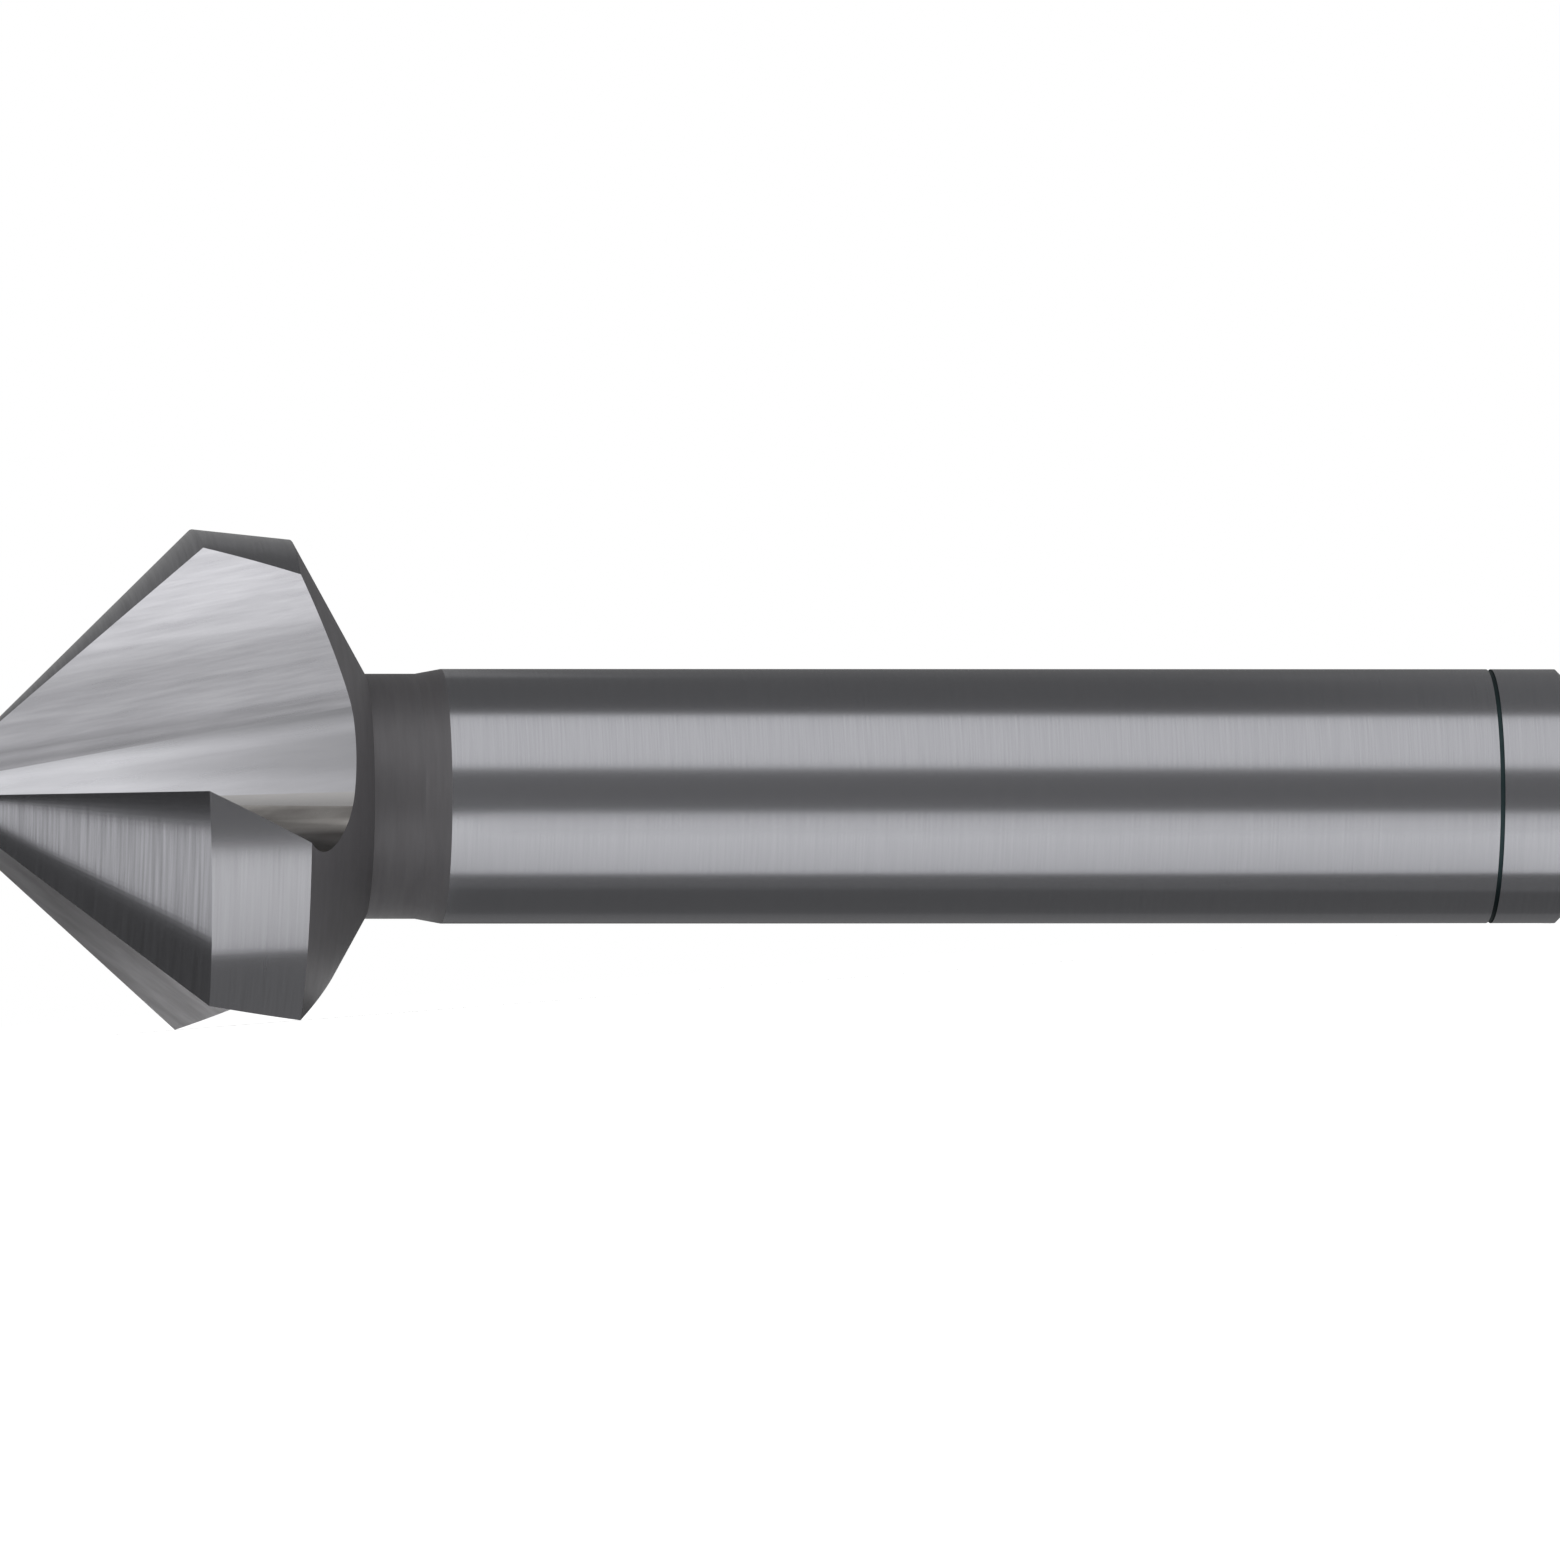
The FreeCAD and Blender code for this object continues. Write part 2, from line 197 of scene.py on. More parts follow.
def loft(name: str, front: Sequence[Vector], rear: Sequence[Vector]) -> bpy.types.Object:
    """Make a closed ruled solid between two sections with as many corners each.

    Args:
        name: Name of the new object.
        front: Corners of the section nearer the tip.
        rear: Corners of the section nearer the shank, in the same order.

    Returns:
        The solid, at the origin.
    """
    bpy.ops.object.select_all(action="DESELECT")
    bpy.ops.mesh.primitive_circle_add(
        vertices=len(front), radius=1.0, fill_type="NGON", rotation=(0.0, math.pi / 2, 0.0)
    )
    obj = bpy.context.object
    obj.name = name
    apply_place(obj)
    bpy.ops.object.mode_set(mode="EDIT")
    bpy.ops.mesh.select_mode(type="VERT")
    place_ring(obj, 0, front)
    bpy.ops.mesh.select_all(action="SELECT")
    bpy.ops.mesh.extrude_region_move(TRANSFORM_OT_translate={"value": (1.0, 0.0, 0.0)})
    place_ring(obj, len(front), rear)
    bpy.ops.mesh.select_all(action="SELECT")
    bpy.ops.mesh.normals_make_consistent(inside=False)
    bpy.ops.object.mode_set(mode="OBJECT")
    return obj


def polar(angle: float, distance: float) -> Vector:
    """Vector across the tool's axis at an angle from +Y towards +Z, in radians."""
    return Vector((0.0, distance * math.cos(angle), distance * math.sin(angle)))


@dataclass(frozen=True)
class Line:
    """A straight side of a section: its normal's angle, and its distance from the axis."""

    normal: float
    distance: float

    def crossing(self, other: "Line") -> Vector:
        """Find the point where two sides meet.

        Args:
            other: The other side.

        Returns:
            The point, at station nought.
        """
        turn = math.sin(other.normal - self.normal)
        return Vector((
            0.0,
            (self.distance * math.sin(other.normal) - other.distance * math.sin(self.normal)) / turn,
            (other.distance * math.cos(self.normal) - self.distance * math.cos(other.normal)) / turn,
        ))

    def offset(self, by: float) -> "Line":
        """The same side, moved along its normal."""
        return Line(self.normal, self.distance + by)


@dataclass(frozen=True)
class BlankSizes:
    """The turned blank, in millimetres and degrees."""

    overall_length: float = 63.0
    tip_radius: float = 2.05
    head_radius: float = 10.5
    land_length: float = 4.08
    land_taper: float = 6.0
    back_cone_angle: float = 60.8
    neck_radius: float = 4.81
    neck_length: float = 2.0
    step_length: float = 1.03
    shank_radius: float = 5.0
    end_chamfer: float = 0.5
    ring_distance: float = 3.1
    ring_width: float = 0.18
    ring_depth: float = 0.06
    segments: int = 240

    @property
    def tip(self) -> float:
        """Station of the tip face, on the 90 degree cone."""
        return self.tip_radius

    @property
    def corner(self) -> float:
        """Station of the teeth's front corners, on the 90 degree cone."""
        return self.head_radius

    @property
    def heel(self) -> float:
        """Station where the land ends."""
        return self.corner + self.land_length

    @property
    def heel_radius(self) -> float:
        """Radius where the land ends."""
        return self.head_radius - self.land_length * math.tan(math.radians(self.land_taper))

    @property
    def neck(self) -> float:
        """Station where the back cone meets the neck."""
        rise = self.heel_radius - self.neck_radius
        return self.heel + rise / math.tan(math.radians(self.back_cone_angle))

    @property
    def shank(self) -> float:
        """Station where the step reaches the shank's radius."""
        return self.neck + self.neck_length + self.step_length

    @property
    def end(self) -> float:
        """Station of the shank's end face."""
        return self.tip + self.overall_length

    def outline(self) -> list[tuple[float, float, Zone]]:
        """List the blank's rings from the tip face back.

        Returns:
            Station and radius of each ring, with the zone that ends there.
        """
        ring_front = self.end - self.ring_distance - self.ring_width / 2
        ring_rear = ring_front + self.ring_width
        ring_radius = self.shank_radius - self.ring_depth
        return [
            (self.corner, self.head_radius, Zone.CONE),
            (self.heel, self.heel_radius, Zone.LAND),
            (self.neck, self.neck_radius, Zone.TURNED),
            (self.neck + self.neck_length, self.neck_radius, Zone.TURNED),
            (self.shank, self.shank_radius, Zone.TURNED),
            (ring_front, self.shank_radius, Zone.SHANK),
            (ring_front, ring_radius, Zone.RING),
            (ring_rear, ring_radius, Zone.RING),
            (ring_rear, self.shank_radius, Zone.RING),
            (self.end - self.end_chamfer, self.shank_radius, Zone.SHANK),
            (self.end, self.shank_radius - self.end_chamfer, Zone.END),
        ]


@dataclass(frozen=True)
class ToothSizes:
    """The flutes and reliefs, in millimetres and degrees.

    Round a flute's section, from the wall to the tooth's face, the steel turns steadily. The
    floor's finish ends where it has turned by the fold's angle and floor_spread, and the darker
    band of painted shade along the floor's edge where it has turned by the fold's angle and
    edge_spread.
    """

    count: int = 3
    rake_angle: float = 23.2
    wall_angle: float = 4.1
    wall_at_tip: float = 0.23
    wall_at_neck: float = 5.70
    floor_angle: float = 14.6
    floor_at_tip: float = 0.47
    floor_at_neck: float = 6.68
    root_at_tip: float = 0.3
    root_at_neck: float = 3.7
    root_steps: int = 20
    relief_slope: float = 0.045
    relief_lead: float = 3.0
    relief_sweep: float = 85.0
    relief_steps: int = 56
    crease_width: float = 0.5
    crease_steps: int = 6
    floor_spread: float = 1.0
    edge_spread: float = 10.5
    run_out: float = 0.6
    margin: float = 2.0

    @property
    def fold_angle(self) -> float:
        """Angle between the flute's wall and its floor."""
        return self.wall_angle + self.floor_angle


class CountersinkBit:
    """The bit: a turned blank with ground flutes, relieved cutting cones and a ring mark.

    Attributes:
        ROLL: Turn about the tool's own axis at rest, in radians.
        SMOOTH_ANGLE: Edges that bend less than this are shaded smooth, in radians.
        CREASE_SPREAD: How far the crease's bend may be from the fold's angle, in radians.
        CREASE_LENGTH: Edges along the tool are longer than this, in millimetres.
        SAME_STATION: Stations closer than this count as one, in millimetres.
        SAME_POINT: Vertices closer than this are merged, in metres.
        FACING_ENDWISE: A unit normal's part across the tool is less than this on an end face.
    """

    ROLL = math.radians(-60.508)
    SMOOTH_ANGLE = math.radians(9.0)
    CREASE_SPREAD = math.radians(4.0)
    CREASE_LENGTH = 1.0
    SAME_STATION = 1e-4
    SAME_POINT = 1e-7
    FACING_ENDWISE = 0.5

    def __init__(self, record: dict) -> None:
        """Take the sizes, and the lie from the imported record.

        Args:
            record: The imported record.
        """
        self.blank = BlankSizes()
        self.teeth = ToothSizes()
        self.lie = Lie.of_frame(record, self.blank.end, self.ROLL)

    def turn_blank(self) -> bpy.types.Object:
        """Turn the blank: extrude the tip face from station to station and size each ring.

        Returns:
            The blank, with a material slot for each zone.
        """
        sizes = self.blank
        bpy.ops.object.select_all(action="DESELECT")
        bpy.ops.mesh.primitive_circle_add(
            vertices=sizes.segments,
            radius=sizes.tip_radius,
            fill_type="NGON",
            location=(sizes.tip, 0.0, 0.0),
            rotation=(0.0, math.pi / 2, 0.0),
        )
        obj = bpy.context.object
        obj.name = "ground_bit"
        apply_place(obj)
        bpy.ops.object.mode_set(mode="EDIT")
        bpy.ops.mesh.select_all(action="SELECT")
        station, radius = sizes.tip, sizes.tip_radius
        for next_station, next_radius, _ in sizes.outline():
            step = (next_station - station, 0.0, 0.0)
            growth = next_radius / radius
            bpy.ops.mesh.extrude_region_move(TRANSFORM_OT_translate={"value": step})
            bpy.ops.transform.resize(
                value=(1.0, growth, growth), center_override=(next_station, 0.0, 0.0)
            )
            station, radius = next_station, next_radius
        bpy.ops.mesh.select_all(action="SELECT")
        bpy.ops.mesh.normals_make_consistent(inside=False)
        bpy.ops.object.mode_set(mode="OBJECT")
        self.zone_faces(obj)
        return obj

    def zone_faces(self, obj: bpy.types.Object) -> None:
        """Give the blank a slot for each zone, and each face its zone by its station.

        Args:
            obj: The blank.
        """
        sizes = self.blank
        slots = list(Zone)
        for zone in slots:
            obj.data.materials.append(bpy.data.materials.new(zone.value))
        outline = sizes.outline()
        starts = [sizes.tip] + [station for station, _, _ in outline[:-1]]
        for face in obj.data.polygons:
            station = face.center.x
            zone = Zone.END
            if station < sizes.tip + self.SAME_STATION:
                zone = Zone.TIP
            elif station < sizes.end - self.SAME_STATION:
                zone = self.zone_at(outline, starts, station)
            face.material_index = slots.index(zone)

    def zone_at(
        self, outline: Sequence[tuple[float, float, Zone]], starts: Sequence[float], station: float
    ) -> Zone:
        """Find the zone of a turned face by its station, narrow bands first.

        Args:
            outline: The blank's rings, as the sizes list them.
            starts: Station where each ring's band begins.
            station: Station of the face's middle.

        Returns:
            The zone that the face lies in.
        """
        spans = [
            (end - start, zone)
            for start, (end, _, zone) in zip(starts, outline)
            if start - self.SAME_STATION <= station <= end + self.SAME_STATION
        ]
        return min(spans, key=lambda span: span[0])[1]

    def flute_corners(self, station: float) -> list[Vector]:
        """Corners of a flute's section: long wall, floor, root fillet, tooth's face, outside.

        The face goes through the cutting edge, which is as far from the axis as the station
        is from the apex.

        Args:
            station: Where the section is.

        Returns:
            The corners in order round the section.
        """
        teeth, sizes = self.teeth, self.blank
        share = (station - sizes.tip) / (sizes.neck - sizes.tip)

        def between(at_tip: float, at_neck: float) -> float:
            """Size at this station, from those at the tip face and at the neck."""
            return at_tip + (at_neck - at_tip) * share

        rake = math.radians(teeth.rake_angle)
        reach = sizes.head_radius + teeth.margin
        root = between(teeth.root_at_tip, teeth.root_at_neck)
        wall = Line(math.radians(teeth.wall_angle), between(teeth.wall_at_tip, teeth.wall_at_neck))
        floor = Line(-math.radians(teeth.floor_angle), between(teeth.floor_at_tip, teeth.floor_at_neck))
        face = Line(-math.pi / 2 - rake, -station * math.sin(rake))
        side = Line(0.0, reach + max(0.0, share) * teeth.margin)
        bottom = Line(-math.pi / 2, reach)
        centre = floor.offset(root).crossing(face.offset(root))
        first, last = floor.normal + math.pi, face.normal + math.pi
        fillet = [
            centre + polar(first + (last - first) * step / teeth.root_steps, root)
            for step in range(teeth.root_steps + 1)
        ]
        first_corners = [bottom.crossing(wall), wall.crossing(floor)]
        last_corners = [face.crossing(side), side.crossing(bottom)]
        forward = Vector((station, 0.0, 0.0))
        return [corner + forward for corner in (*first_corners, *fillet, *last_corners)]

    def relief_corners(self, station: float) -> list[Vector]:
        """Corners of a relief's section: a crescent outside an off-centre circle.

        The circle meets the cutting cone just ahead of the edge, and its centre is shifted
        towards the open flute, so that the cone falls away steadily behind the edge.

        Args:
            station: Where the section is.

        Returns:
            The corners in order round the section.
        """
        teeth = self.teeth
        lead = math.radians(teeth.relief_lead)
        sweep = math.radians(teeth.relief_sweep)
        centre = polar(-lead - math.pi / 2, station * teeth.relief_slope)
        inner = station * math.hypot(1.0, teeth.relief_slope)
        outer = inner + teeth.margin
        steps = teeth.relief_steps
        angles = [-2 * lead + sweep * step / steps for step in range(steps + 1)]
        arc = [centre + polar(angle, inner) for angle in angles]
        back = [centre + polar(angle, outer) for angle in reversed(angles)]
        forward = Vector((station, 0.0, 0.0))
        return [corner + forward for corner in arc + back]

    def flute_cutter(self) -> bpy.types.Object:
        """Make what the first flute takes away, with its crease softened.

        Returns:
            The cutter, at the origin.
        """
        front = self.flute_corners(self.blank.tip - self.teeth.run_out)
        rear = self.flute_corners(self.blank.neck + self.teeth.run_out)
        cutter = loft("flute_cutter", front, rear)
        self.soften_crease(cutter)
        return cutter

    def relief_cutter(self, cone: bpy.types.Material) -> bpy.types.Object:
        """Make what the first tooth's relief takes away.

        Args:
            cone: The finish that it leaves.

        Returns:
            The cutter, at the origin.
        """
        front = self.relief_corners(self.blank.tip - self.teeth.run_out)
        rear = self.relief_corners(self.blank.corner + self.teeth.margin)
        cutter = loft("relief_cutter", front, rear)
        cutter.data.materials.append(cone)
        return cutter

    def dress_flute_cutter(self, obj: bpy.types.Object, materials: dict[str, bpy.types.Material]) -> None:
        """Give the cutter's faces the finishes that they leave on the steel, whose tones carry painted
        shade and highlights.

        Args:
            obj: The flute's cutter for the first tooth.
            materials: The flute's finishes by name, in the order of the section.
        """
        for material in materials.values():
            obj.data.materials.append(material)
        order = list(materials)
        teeth = self.teeth
        wall = polar(math.radians(teeth.wall_angle) + math.pi, 1.0)
        limits = {
            "wall": teeth.fold_angle / 2,
            "floor": teeth.fold_angle + teeth.floor_spread,
            "edge": teeth.fold_angle + teeth.edge_spread,
            "root": 90.0 + teeth.rake_angle,
        }
        for face in obj.data.polygons:
            across = Vector((0.0, face.normal.y, face.normal.z))
            angle = across.angle(wall) if across.length > self.FACING_ENDWISE else math.pi
            kind = next((name for name, limit in limits.items() if angle < math.radians(limit)), "face")
            face.material_index = order.index(kind)

    def soften_crease(self, cutter: bpy.types.Object) -> None:
        """Round the shallow crease between the flute's wall and floor a little.

        Args:
            cutter: The flute's cutter.
        """
        select_only(cutter)
        bpy.ops.object.mode_set(mode="EDIT")
        bpy.ops.mesh.select_mode(type="EDGE")
        mesh = bmesh.from_edit_mesh(cutter.data)
        fold = math.radians(self.teeth.fold_angle)
        for edge in mesh.edges:
            lengthwise = abs(edge.verts[0].co.x - edge.verts[1].co.x) > self.CREASE_LENGTH
            folded = abs(edge.calc_face_angle(0.0) - fold) < self.CREASE_SPREAD
            edge.select_set(lengthwise and folded)
        bmesh.update_edit_mesh(cutter.data)
        bpy.ops.mesh.bevel(
            offset=self.teeth.crease_width, segments=self.teeth.crease_steps, affect="EDGES"
        )
        bpy.ops.object.mode_set(mode="OBJECT")

    @staticmethod
    def own_copy(obj: bpy.types.Object) -> bpy.types.Object:
        """Copy a cutter.

        Args:
            obj: The cutter to copy.

        Returns:
            The copy, which has its own mesh.
        """
        twin = obj.copy()
        twin.data = obj.data.copy()
        bpy.context.collection.objects.link(twin)
        return twin

    def grind(self, blank: bpy.types.Object, cutter: bpy.types.Object, tooth: int) -> None:
        """Turn a cutter to a tooth, take its volume out of the blank and drop it.

        Args:
            blank: The blank, which gets the cutter's finishes where it is cut.
            cutter: The first tooth's cutter, which is used up.
            tooth: Which tooth it cuts, from nought.
        """
        cutter.rotation_euler = (math.tau * tooth / self.teeth.count, 0.0, 0.0)
        apply_place(cutter)
        apply_modifier(
            blank,
            "BOOLEAN",
            {"object": cutter, "operation": "DIFFERENCE", "solver": "EXACT", "material_mode": "TRANSFER"},
        )
        bpy.data.objects.remove(cutter)

    def build(self, finishes: "Finishes") -> bpy.types.Object:
        """Make the bit and lay it down in the frame.

        Args:
            finishes: Makes the finish of each zone.

        Returns:
            The finished piece, at the origin, with its place in its mesh.
        """
        bit = self.turn_blank()
        flute = self.flute_cutter()
        relief = self.relief_cutter(bit.data.materials[list(Zone).index(Zone.CONE)])
        for tooth in range(self.teeth.count):
            self.grind(bit, self.own_copy(relief), tooth)
        for tooth in range(self.teeth.count):
            cutter = self.own_copy(flute)
            self.dress_flute_cutter(cutter, finishes.flute(tooth))
            self.grind(bit, cutter, tooth)
        bpy.data.objects.remove(flute)
        bpy.data.objects.remove(relief)
        finishes.dress(bit)
        self.finish_mesh(bit)
        return bit

    def finish_mesh(self, bit: bpy.types.Object) -> None:
        """Lay the mesh down in the frame, merge doubles and shade it by its edges.

        Args:
            bit: The ground bit, in its own millimetres.
        """
        select_only(bit)
        bit.matrix_world = self.lie.matrix()
        apply_place(bit)
        bpy.ops.object.mode_set(mode="EDIT")
        bpy.ops.mesh.select_all(action="SELECT")
        bpy.ops.mesh.remove_doubles(threshold=self.SAME_POINT)
        bpy.ops.mesh.normals_make_consistent(inside=False)
        bpy.ops.object.mode_set(mode="OBJECT")
        bpy.ops.object.shade_smooth_by_angle(angle=self.SMOOTH_ANGLE)
        apply_modifier(bit, "WEIGHTED_NORMAL", {"mode": "FACE_AREA", "keep_sharp": True, "weight": 100})


@dataclass(frozen=True)
class PaintedShading:
    """Painted shade and highlight: how the tone of a ground surface changes in one direction.

    Attributes:
        turn: Turn of the direction from the tooth's third axis towards the tool's, in radians.
        stops: Distances in that direction, in millimetres, with the factor of the tone at each.
    """

    turn: float
    stops: tuple[tuple[float, float], ...]


@dataclass(frozen=True)
class GroundFinish:
    """A metal finish whose grain is drawn out along the marks that a grinding wheel left.

    Attributes:
        name: Name of the material.
        dark: Steel in the grain's valleys.
        light: Steel on its crests.
        roughness: Least and greatest roughness.
        grain: Length of the grain along the tool's three directions, in millimetres.
        grain_turn: Turns of the grain about the tooth's three axes, in radians.
        contrast: Share of the grain's range that the colour runs over, from 0 to 0.5.
        relief: Height of the grain as bump, in millimetres.
        detail: Octaves of the grain.
        metallic: Share of bare metal in a scaled or tempered surface.
        painted_shading: Painted shade and painted highlights, as ramps that change the tone across the
            surface.
    """

    name: str
    dark: Colour
    light: Colour
    roughness: tuple[float, float]
    grain: Triple
    grain_turn: Triple = (0.0, 0.0, 0.0)
    contrast: float = 0.25
    relief: float = 0.002
    detail: float = 5.0
    metallic: float = 1.0
    painted_shading: tuple[PaintedShading, ...] = ()


class Shader:
    """A node tree of a material or a world, with short ways to add what the finishes need."""

    def __init__(self, owner: bpy.types.Material | bpy.types.World) -> None:
        """Clear the owner's tree and give it a new output.

        Args:
            owner: The material or world whose nodes are built.
        """
        owner.use_nodes = True
        self.tree = owner.node_tree
        self.tree.nodes.clear()
        output = "ShaderNodeOutputMaterial"
        if isinstance(owner, bpy.types.World):
            output = "ShaderNodeOutputWorld"
        self.output = self.tree.nodes.new(output)

    def node(self, kind: str, inputs: dict[int | str, object], **settings: object) -> bpy.types.Node:
        """Add a node, set its properties, and set or link its inputs.

        Args:
            kind: Blender's name for the kind of node.
            inputs: Value of each input, or the socket that feeds it, by the input's name or number.
            settings: Values of the node's properties by name.

        Returns:
            The new node.
        """
        node = self.tree.nodes.new(kind)
        for name, value in settings.items():
            setattr(node, name, value)
        for name, value in inputs.items():
            if isinstance(value, bpy.types.NodeSocket):
                self.tree.links.new(value, node.inputs[name])
            else:
                node.inputs[name].default_value = value
        return node

    def end(self, surface: bpy.types.NodeSocket) -> None:
        """Link the finished surface to the output."""
        self.tree.links.new(surface, self.output.inputs["Surface"])

    def greater(self, one: bpy.types.NodeSocket, other: bpy.types.NodeSocket) -> bpy.types.NodeSocket:
        """The greater of two values."""
        return self.node("ShaderNodeMath", {0: one, 1: other}, operation="MAXIMUM").outputs["Value"]

    def shown(self) -> bpy.types.NodeSocket:
        """Tell what is looked at from what only lights.

        Returns:
            One for the camera, a reflection or a refraction, and nought for other light.
        """
        path = self.node("ShaderNodeLightPath", {}).outputs
        seen = self.greater(path["Is Camera Ray"], path["Is Glossy Ray"])
        return self.greater(seen, path["Is Transmission Ray"])

    def tool_millimetres(self, lie: Lie, tooth_turn: float) -> bpy.types.NodeSocket:
        """Turn object coordinates into the tool's own millimetres, at one tooth.

        Args:
            lie: How the bit lies.
            tooth_turn: Turn of the tooth about the axis, in radians.

        Returns:
            The place along the tool, and along the tooth's two directions across it.
        """
        place = self.node("ShaderNodeTexCoord", {}).outputs["Object"]
        laid = self.node(
            "ShaderNodeMapping",
            {"Vector": place, "Location": lie.apex, "Rotation": lie.turn, "Scale": (MM, MM, MM)},
            vector_type="TEXTURE",
        ).outputs["Vector"]
        return self.node(
            "ShaderNodeMapping", {"Vector": laid, "Rotation": (tooth_turn, 0.0, 0.0)}, vector_type="TEXTURE"
        ).outputs["Vector"]


class Finishes:
    """The finishes of the bit's zones.

    Attributes:
        GRAIN_ROUGHNESS: How much of the grain is in its finer octaves.
        GRAIN_LOW: The grain's value at which the steel is roughest.
        GRAIN_MIDDLE: The grain's middle value.
        GRAIN_HIGH: The grain's value at which the steel is smoothest.
    """

    GRAIN_ROUGHNESS = 0.6
    GRAIN_LOW = 0.2
    GRAIN_MIDDLE = 0.5
    GRAIN_HIGH = 0.8

    SHANK = GroundFinish(
        name="ground_shank", dark=(0.386, 0.388, 0.413), light=(0.436, 0.438, 0.462),
        roughness=(0.19, 0.23), grain=(0.05, 3.0, 3.0), relief=0.0002,
    )
    TURNED = GroundFinish(
        name="turned_steel", dark=(0.096, 0.093, 0.098), light=(0.115, 0.111, 0.117),
        roughness=(0.42, 0.5), grain=(0.3, 3.0, 3.0), relief=0.0004, metallic=0.5,
    )
    CONE = GroundFinish(
        name="ground_cone", dark=(0.211, 0.211, 0.224), light=(0.348, 0.348, 0.37),
        roughness=(0.16, 0.22), grain=(0.10, 6.0, 6.0), relief=0.001,
    )
    LAND = GroundFinish(
        name="ground_land", dark=(0.345, 0.345, 0.364), light=(0.408, 0.408, 0.43),
        roughness=(0.22, 0.28), grain=(0.10, 6.0, 6.0), relief=0.0006,
    )
    # Painted reflection on the flute wall: its fade darkens the tone from 0.60 to about 0.3 across the
    # wall, with narrow darker steps, and base colours above one brighten it.
    WALL = GroundFinish(
        name="flute_wall", dark=(0.84, 0.835, 0.883), light=(1.10, 1.095, 1.148),
        roughness=(0.2, 0.3), grain=(5.0, 3.0, 0.32), grain_turn=(0.0, math.radians(11.0), 0.0),
        relief=0.0015,
        painted_shading=(PaintedShading(math.radians(9.0), (
            (-6.55, 0.60), (-4.65, 0.50), (-3.55, 0.355), (-1.5, 0.35),
            (-1.17, 0.265), (-0.95, 0.325), (-0.72, 0.28), (-0.55, 0.34),
        )),),
    )
    # Painted light on the flute floor: one fade paints shade that darkens it towards the neck, one a
    # highlight along the crease with the wall, one a bright band along its lower edge; base colours above
    # one brighten it.
    FLOOR = GroundFinish(
        name="flute_floor", dark=(0.93, 0.93, 0.978), light=(1.04, 1.04, 1.092),
        roughness=(0.2, 0.3), grain=(6.0, 3.0, 0.45), grain_turn=(0.0, math.radians(8.0), 0.0),
        relief=0.001,
        painted_shading=(
            PaintedShading(math.radians(100.0), (
                (4.0, 0.76), (7.5, 0.78), (10.0, 0.65), (13.5, 0.51), (17.0, 0.44),
            )),
            PaintedShading(math.radians(8.5), (
                (-0.71, 0.64), (-0.46, 0.86), (-0.24, 1.0), (-0.1, 1.0), (0.14, 0.88), (0.64, 0.84),
            )),
            PaintedShading(math.radians(1.4), ((-0.7, 0.84), (-0.15, 1.0), (0.3, 1.0))),
        ),
    )
    # Painted shade: a darker band along the floor's lower edge, next to the root, whose fade darkens it
    # further towards the root.
    EDGE = GroundFinish(
        name="flute_edge", dark=(0.385, 0.378, 0.376), light=(0.42, 0.412, 0.41),
        roughness=(0.2, 0.3), grain=(6.0, 3.0, 0.45), grain_turn=(0.0, math.radians(8.0), 0.0),
        relief=0.001,
        painted_shading=(PaintedShading(math.radians(1.4), ((0.3, 1.0), (0.8, 0.66))),),
    )
    # Painted shade in the root fillet's hollow, darkest at its border with the tooth's face, with a painted
    # highlight band across it.
    ROOT = GroundFinish(
        name="flute_root", dark=(0.39, 0.37, 0.355), light=(0.53, 0.51, 0.49),
        roughness=(0.25, 0.35), grain=(7.0, 0.5, 0.5), relief=0.001,
        painted_shading=(PaintedShading(math.radians(1.4), (
            (0.8, 0.5), (1.0, 0.34), (1.2, 0.37), (1.35, 0.45),
            (1.5, 0.76), (1.7, 0.95), (1.85, 0.75), (2.0, 0.38),
        )),),
    )
    # Painted shade: the tooth face's fade darkens it towards the tip.
    FACE = GroundFinish(
        name="tooth_face", dark=(0.60, 0.59, 0.60), light=(0.97, 0.96, 0.98),
        roughness=(0.35, 0.5), grain=(5.0, 0.35, 0.35), grain_turn=(0.0, 0.0, math.radians(38.0)),
        relief=0.001, metallic=0.45,
        painted_shading=(PaintedShading(math.radians(90.0), ((3.0, 0.46), (6.5, 0.57), (9.0, 0.81), (12.0, 1.0))),),
    )
    END = GroundFinish(
        name="faced_end", dark=(0.30, 0.305, 0.32), light=(0.40, 0.405, 0.42),
        roughness=(0.2, 0.3), grain=(3.0, 0.4, 0.4), relief=0.0005,
    )
    RING = GroundFinish(
        name="ring_mark", dark=(0.03, 0.05, 0.053), light=(0.045, 0.068, 0.072),
        roughness=(0.5, 0.6), grain=(0.3, 1.0, 1.0), relief=0.0,
    )

    def __init__(self, lie: Lie, tooth_count: int) -> None:
        """Keep the lie and the teeth's count, which turn the patterns to the tool's directions."""
        self.lie = lie
        self.tooth_count = tooth_count

